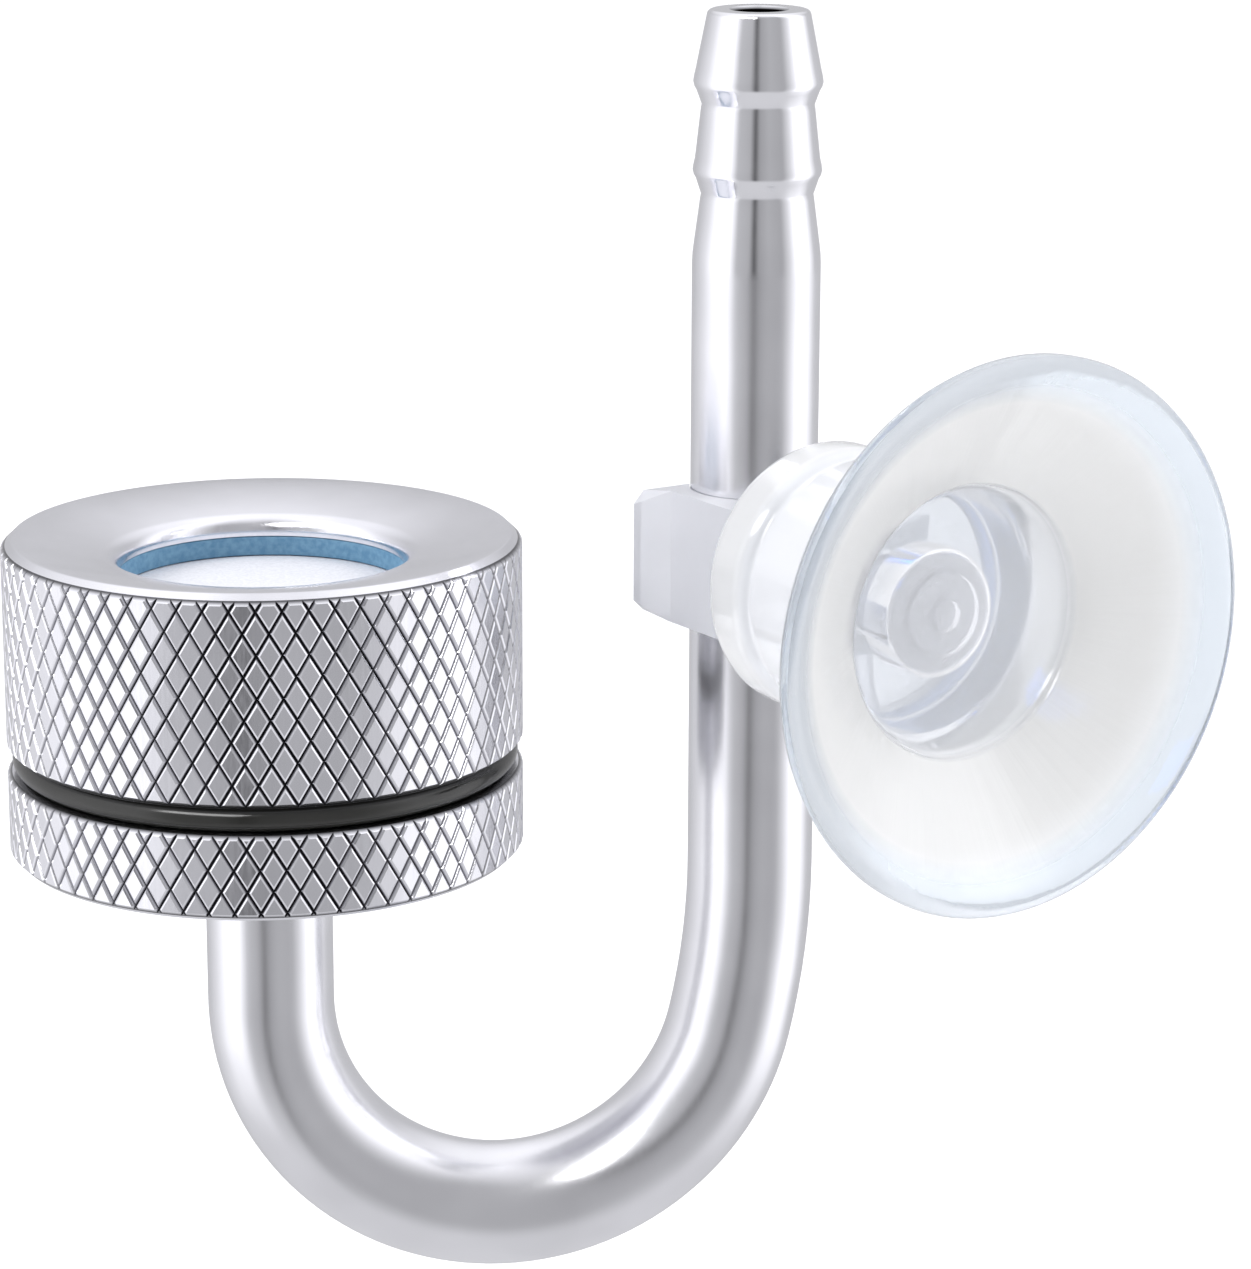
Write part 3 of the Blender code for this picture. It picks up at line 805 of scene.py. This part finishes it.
def drawn_aluminium(name, colour, roughness):
    """Drawn tube: satin along its length, polished on the barbs, with painted shade darkening the bore.
    """
    material = aluminium(name, colour, roughness, (1, 1, 0.03), 0.35)
    tree = material.node_tree
    shader = tree.nodes["Principled BSDF"]
    tone = shader.inputs["Base Color"].links[0].from_socket
    finish = shader.inputs["Roughness"].links[0].from_socket

    # Painted shade: the bore's faces are turned near black
    inside = node(tree, "ShaderNodeAttribute", attribute_name="inside")
    bore = node(tree, "ShaderNodeMix", data_type="RGBA")
    bore.inputs["B"].default_value = (*BORE_SHADE_COLOUR, 1.0)
    tree.links.new(inside.outputs["Fac"], bore.inputs["Factor"])
    tree.links.new(tone, bore.inputs["A"])
    tree.links.new(bore.outputs["Result"], shader.inputs["Base Color"])

    place = node(tree, "ShaderNodeTexCoord")
    split = node(tree, "ShaderNodeSeparateXYZ")
    barbs = node(tree, "ShaderNodeMapRange")
    barbs.inputs["From Min"].default_value = (BARB_END_Z + POLISH_FADE[0]) * MM
    barbs.inputs["From Max"].default_value = (BARB_END_Z + POLISH_FADE[1]) * MM
    barbs.inputs["To Min"].default_value = 1.0
    barbs.inputs["To Max"].default_value = BARB_POLISH
    polished = node(tree, "ShaderNodeMath", operation="MULTIPLY")
    tree.links.new(place.outputs["Object"], split.inputs["Vector"])
    tree.links.new(split.outputs["Z"], barbs.inputs["Value"])
    tree.links.new(finish, polished.inputs[0])
    tree.links.new(barbs.outputs["Result"], polished.inputs[1])
    tree.links.new(polished.outputs["Value"], shader.inputs["Roughness"])
    return material


def knurled_aluminium(name, colour, roughness):
    """The same metal with painted shade darkening the grooves between its diamonds."""
    material = aluminium(name, colour, roughness, (1, 1, 0.15), 1.0)
    tree = material.node_tree
    shader = tree.nodes["Principled BSDF"]
    plain_tone = shader.inputs["Base Color"].links[0].from_socket

    place = node(tree, "ShaderNodeTexCoord")
    flat = node(tree, "ShaderNodeVectorMath", operation="MULTIPLY")
    flat.inputs[1].default_value = (1, 1, 0)
    radius = node(tree, "ShaderNodeVectorMath", operation="LENGTH")
    tree.links.new(place.outputs["Object"], flat.inputs[0])
    tree.links.new(flat.outputs["Vector"], radius.inputs[0])

    # Painted shade: deeper in a groove the tone runs towards the shade colour, for the shade that falls
    # there
    depth = node(tree, "ShaderNodeMapRange")
    depth.inputs["From Min"].default_value = (HEAD_RADIUS - GROOVE_SHADE_FADE[0] * KNURL_DEPTH) * MM
    depth.inputs["From Max"].default_value = (HEAD_RADIUS - GROOVE_SHADE_FADE[1] * KNURL_DEPTH) * MM
    tree.links.new(radius.outputs["Value"], depth.inputs["Value"])

    side = node(tree, "ShaderNodeMath", operation="LESS_THAN")
    side.inputs[1].default_value = (HEAD_RADIUS - GROOVE_SHADE_LIMIT * KNURL_DEPTH) * MM
    tree.links.new(radius.outputs["Value"], side.inputs[0])
    unshaded = node(tree, "ShaderNodeMath", operation="MAXIMUM")
    tree.links.new(depth.outputs["Result"], unshaded.inputs[0])
    tree.links.new(side.outputs["Value"], unshaded.inputs[1])

    # Mix the painted groove shade into the metal's tone
    groove = node(tree, "ShaderNodeMix", data_type="RGBA")
    groove.inputs["A"].default_value = (*GROOVE_SHADE_COLOUR, 1.0)
    tree.links.new(unshaded.outputs["Value"], groove.inputs["Factor"])
    tree.links.new(plain_tone, groove.inputs["B"])
    tree.links.new(groove.outputs["Result"], shader.inputs["Base Color"])
    return material


def blue_silicone():
    material, shader = shader_of("blue_silicone", BLUE_TONES[1], 0.5)
    tree = material.node_tree
    grain = noise(tree, scale=4200)
    tint(tree, grain.outputs["Fac"], *BLUE_TONES, shader.inputs["Base Color"])
    bump(tree, grain.outputs["Fac"], shader, strength=0.25, distance=0.00002)
    return material


def porous_ceramic():
    material, shader = shader_of("porous_ceramic", CERAMIC_TONES[1], 0.9)
    tree = material.node_tree
    pores = noise(tree, scale=9000, detail=5.0)
    tint(tree, pores.outputs["Fac"], *CERAMIC_TONES, shader.inputs["Base Color"])
    bump(tree, pores.outputs["Fac"], shader, strength=0.35, distance=0.00003)
    return material


def black_rubber():
    material, shader = shader_of("black_rubber", RUBBER_COLOUR, RUBBER_GLOSS[0], IOR=1.5)
    tree = material.node_tree
    grain = noise(tree, scale=3000)
    vary(tree, grain.outputs["Fac"], *RUBBER_GLOSS, shader.inputs["Roughness"])
    bump(tree, grain.outputs["Fac"], shader, strength=0.1, distance=0.00002)
    return material


def clear_silicone():
    """Soft clear silicone: a clearer well and edge, a milky skirt and hub, radial flow marks, and bluish
    grey painted shade at the edge.
    """
    material, shader = shader_of("clear_silicone", CUP_CLARITY_AND_RIM_SHADE[1][2], SILICONE_GLOSS, IOR=SILICONE_IOR,
                                 Coat_Weight=SILICONE_COAT, Coat_Roughness=SILICONE_GLOSS,
                                 Coat_IOR=SILICONE_IOR)
    tree = material.node_tree
    place = node(tree, "ShaderNodeTexCoord")
    across = node(tree, "ShaderNodeVectorMath", operation="MULTIPLY")
    across.inputs[1].default_value = (1, 0, 1)
    spoke = node(tree, "ShaderNodeVectorMath", operation="NORMALIZE")
    streaks = node(tree, "ShaderNodeTexNoise")
    streaks.inputs["Scale"].default_value = 9
    streaks.inputs["Detail"].default_value = 3
    tree.links.new(place.outputs["Object"], across.inputs[0])
    tree.links.new(across.outputs["Vector"], spoke.inputs[0])
    tree.links.new(spoke.outputs["Vector"], streaks.inputs["Vector"])

    radius = node(tree, "ShaderNodeVectorMath", operation="LENGTH")
    skirt = node(tree, "ShaderNodeMapRange")
    skirt.inputs["From Min"].default_value = (WELL_RADIUS + FLOW_FADE[0]) * MM
    skirt.inputs["From Max"].default_value = (WELL_RADIUS + FLOW_FADE[1]) * MM
    flow = node(tree, "ShaderNodeMath", operation="MULTIPLY")
    tree.links.new(radius.outputs["Value"], skirt.inputs["Value"])
    tree.links.new(streaks.outputs["Fac"], flow.inputs[0])
    tree.links.new(skirt.outputs["Result"], flow.inputs[1])
    bump(tree, flow.outputs["Value"], shader, strength=0.13, distance=0.0003)

    share = node(tree, "ShaderNodeMath", operation="DIVIDE")
    share.inputs[1].default_value = RIM_RADIUS * MM
    # The tone ramp carries the painted shade at the rim
    tone = node(tree, "ShaderNodeValToRGB")
    clarity = node(tree, "ShaderNodeValToRGB")
    for ramp in (tone, clarity):
        while len(ramp.color_ramp.elements) < len(CUP_CLARITY_AND_RIM_SHADE):
            ramp.color_ramp.elements.new(0.5)
        tree.links.new(share.outputs["Value"], ramp.inputs["Fac"])
    for k, (reach, clear, colour) in enumerate(CUP_CLARITY_AND_RIM_SHADE):
        tone.color_ramp.elements[k].position = reach / RIM_RADIUS
        tone.color_ramp.elements[k].color = (*colour, 1.0)
        clarity.color_ramp.elements[k].position = reach / RIM_RADIUS
        clarity.color_ramp.elements[k].color = (clear, clear, clear, 1.0)
    tree.links.new(across.outputs["Vector"], radius.inputs[0])
    tree.links.new(radius.outputs["Value"], share.inputs[0])
    tree.links.new(tone.outputs["Color"], shader.inputs["Base Color"])

    split = node(tree, "ShaderNodeSeparateXYZ")
    back = node(tree, "ShaderNodeMapRange")
    back.inputs["From Min"].default_value = (HUB_START - HUB_FADE) * MM
    back.inputs["From Max"].default_value = (HUB_START + HUB_FADE) * MM
    hub = node(tree, "ShaderNodeMix")
    hub.inputs["B"].default_value = HUB_CLARITY
    tree.links.new(place.outputs["Object"], split.inputs["Vector"])
    tree.links.new(split.outputs["Y"], back.inputs["Value"])
    tree.links.new(back.outputs["Result"], hub.inputs["Factor"])
    tree.links.new(clarity.outputs["Color"], hub.inputs["A"])
    tree.links.new(hub.outputs["Result"], shader.inputs["Transmission Weight"])

    depth = node(tree, "ShaderNodeVolumeAbsorption")
    depth.inputs["Color"].default_value = (*DEPTH_COLOUR, 1.0)
    depth.inputs["Density"].default_value = DEPTH_DENSITY
    tree.links.new(depth.outputs["Volume"], tree.nodes["Material Output"].inputs["Volume"])
    return material


def milky(name, colour, roughness, ior, transmission):
    """Milky translucent plastic or silicone with a faint cloudiness."""
    material, shader = shader_of(name, colour, roughness, IOR=ior, Transmission_Weight=transmission)
    tree = material.node_tree
    cloud = noise(tree, scale=500)
    dark = tuple(c * 0.97 for c in colour)
    tint(tree, cloud.outputs["Fac"], dark, colour, shader.inputs["Base Color"])
    bump(tree, cloud.outputs["Fac"], shader, strength=0.1, distance=0.0001)
    return material


# ---------------------------------------------------------------- stage, light and camera

def build_stage():
    """A pale floor well below the object, under a bright even surround."""
    mesh = bpy.data.meshes.new("floor")
    level = cad_box[0].z - FLOOR_DROP
    corners = [(x * FLOOR_HALF, y * FLOOR_HALF, level) for x, y in ((-1, -1), (1, -1), (1, 1), (-1, 1))]
    mesh.from_pydata(corners, [], [(0, 1, 2, 3)])
    floor = bpy.data.objects.new("floor", mesh)
    bpy.context.scene.collection.objects.link(floor)
    floor.visible_glossy = False
    material, shader = shader_of("pale_floor", FLOOR_TONES[1], 0.9, Emission_Strength=FLOOR_GLOW)
    shader.inputs["Emission Color"].default_value = (1.0, 1.0, 1.0, 1.0)
    tree = material.node_tree
    grain = noise(tree, scale=40)
    tint(tree, grain.outputs["Fac"], *FLOOR_TONES, shader.inputs["Base Color"])
    mesh.materials.append(material)


def toward(azimuth, elevation):
    """The direction from the object; azimuth 0 is in front of the glass side, 90 to its right."""
    a, e = math.radians(azimuth), math.radians(elevation)
    return Vector((math.sin(a) * math.cos(e), -math.cos(a) * math.cos(e), math.sin(e)))


def build_world():
    """White behind the object; for lighting, bright and grey sectors round it and a bright ceiling."""
    world = bpy.data.worlds.new("studio")
    bpy.context.scene.world = world
    world.use_nodes = True
    tree = world.node_tree
    lighting = tree.nodes["Background"]
    lighting.inputs["Strength"].default_value = STUDIO_BRIGHTEST

    direction = node(tree, "ShaderNodeTexCoord")
    facing = node(tree, "ShaderNodeMapping", vector_type="TEXTURE")
    facing.inputs["Rotation"].default_value = (0, 0, math.radians(CAMERA_AZIMUTH - 90))
    around = node(tree, "ShaderNodeTexGradient", gradient_type="RADIAL")
    sectors = node(tree, "ShaderNodeValToRGB")
    stops = sectors.color_ramp.elements
    while len(stops) < len(STUDIO_SECTORS):
        stops.new(0.5)
    for stop, (azimuth, brightness) in zip(stops, STUDIO_SECTORS):
        stop.position = (azimuth + 180) / 360
        stop.color = (*[brightness / STUDIO_BRIGHTEST * c for c in STUDIO_TINT], 1.0)
    tree.links.new(direction.outputs["Generated"], facing.inputs["Vector"])
    tree.links.new(facing.outputs["Vector"], around.inputs["Vector"])
    tree.links.new(around.outputs["Color"], sectors.inputs["Fac"])

    shade = sectors.outputs["Color"]
    for brightness, lean, start, full in STUDIO_ENDS:
        along = node(tree, "ShaderNodeVectorMath", operation="DOT_PRODUCT")
        along.inputs[1].default_value = toward(CAMERA_AZIMUTH + 180, 90 - lean)
        height = node(tree, "ShaderNodeMapRange")
        height.inputs["From Min"].default_value = start
        height.inputs["From Max"].default_value = full
        end = node(tree, "ShaderNodeMix", data_type="RGBA")
        end.inputs["B"].default_value = (*[brightness / STUDIO_BRIGHTEST * c for c in STUDIO_TINT], 1.0)
        tree.links.new(direction.outputs["Generated"], along.inputs[0])
        tree.links.new(along.outputs["Value"], height.inputs["Value"])
        tree.links.new(height.outputs["Result"], end.inputs["Factor"])
        tree.links.new(shade, end.inputs["A"])
        shade = end.outputs["Result"]
    tree.links.new(shade, lighting.inputs["Color"])

    seen = node(tree, "ShaderNodeBackground")
    rays = node(tree, "ShaderNodeLightPath")
    either = node(tree, "ShaderNodeMixShader")
    seen.inputs["Color"].default_value = (1.0, 1.0, 1.0, 1.0)
    tree.links.new(rays.outputs["Is Camera Ray"], either.inputs["Fac"])
    tree.links.new(lighting.outputs["Background"], either.inputs[1])
    tree.links.new(seen.outputs["Background"], either.inputs[2])
    tree.links.new(either.outputs["Shader"], tree.nodes["World Output"].inputs["Surface"])


def panel(name, azimuth, elevation, size, power):
    """A soft panel facing the object, placed from the camera's side."""
    back = toward(CAMERA_AZIMUTH + azimuth, elevation)
    data = bpy.data.lights.new(name, "AREA")
    data.shape = "RECTANGLE"
    data.size, data.size_y = size
    data.energy = power
    lamp = bpy.data.objects.new(name, data)
    lamp.location = Vector(AIM) * MM + back * PANEL_DISTANCE
    lamp.rotation_euler = back.to_track_quat("Z", "Y").to_euler()
    bpy.context.scene.collection.objects.link(lamp)
    return lamp


def build_lights():
    """Two soft panels without highlights, and one that only adds highlights."""
    for settings in SOFT_PANELS:
        soft = panel(*settings)
        soft.visible_glossy = False
    sheen = panel(*SHEEN_PANEL)
    sheen.visible_diffuse = False
    sheen.visible_transmission = False


def build_camera():
    back = toward(CAMERA_AZIMUTH, CAMERA_ELEVATION)
    data = bpy.data.cameras.new("camera")
    data.sensor_fit = "HORIZONTAL"
    data.sensor_width = 36
    data.lens = CAMERA_LENS
    data.clip_start = 0.01
    camera = bpy.data.objects.new("camera", data)
    camera.location = (Vector(AIM) + back * CAMERA_DISTANCE) * MM
    turn = back.to_track_quat("Z", "Y").to_matrix().to_4x4()
    camera.rotation_euler = (turn @ Matrix.Rotation(math.radians(CAMERA_ROLL), 4, "Z")).to_euler()
    bpy.context.scene.collection.objects.link(camera)
    bpy.context.scene.camera = camera


def main():
    knurled = knurled_aluminium("knurled_aluminium", *KNURLED_METAL)
    drawn = drawn_aluminium("drawn_aluminium", *DRAWN_METAL)
    soft = clear_silicone()
    seat = milky("seat_silicone", *SEAT_SILICONE)
    plastic = milky("milky_plastic", *CLIP_PLASTIC)
    build_head(knurled, blue_silicone(), porous_ceramic(), seat, black_rubber())
    build_tube(drawn)
    build_clip(plastic)
    build_cup(soft)
    build_stage()
    build_world()
    build_lights()
    build_camera()


main()
bpy.context.scene.view_settings.view_transform = "Standard"
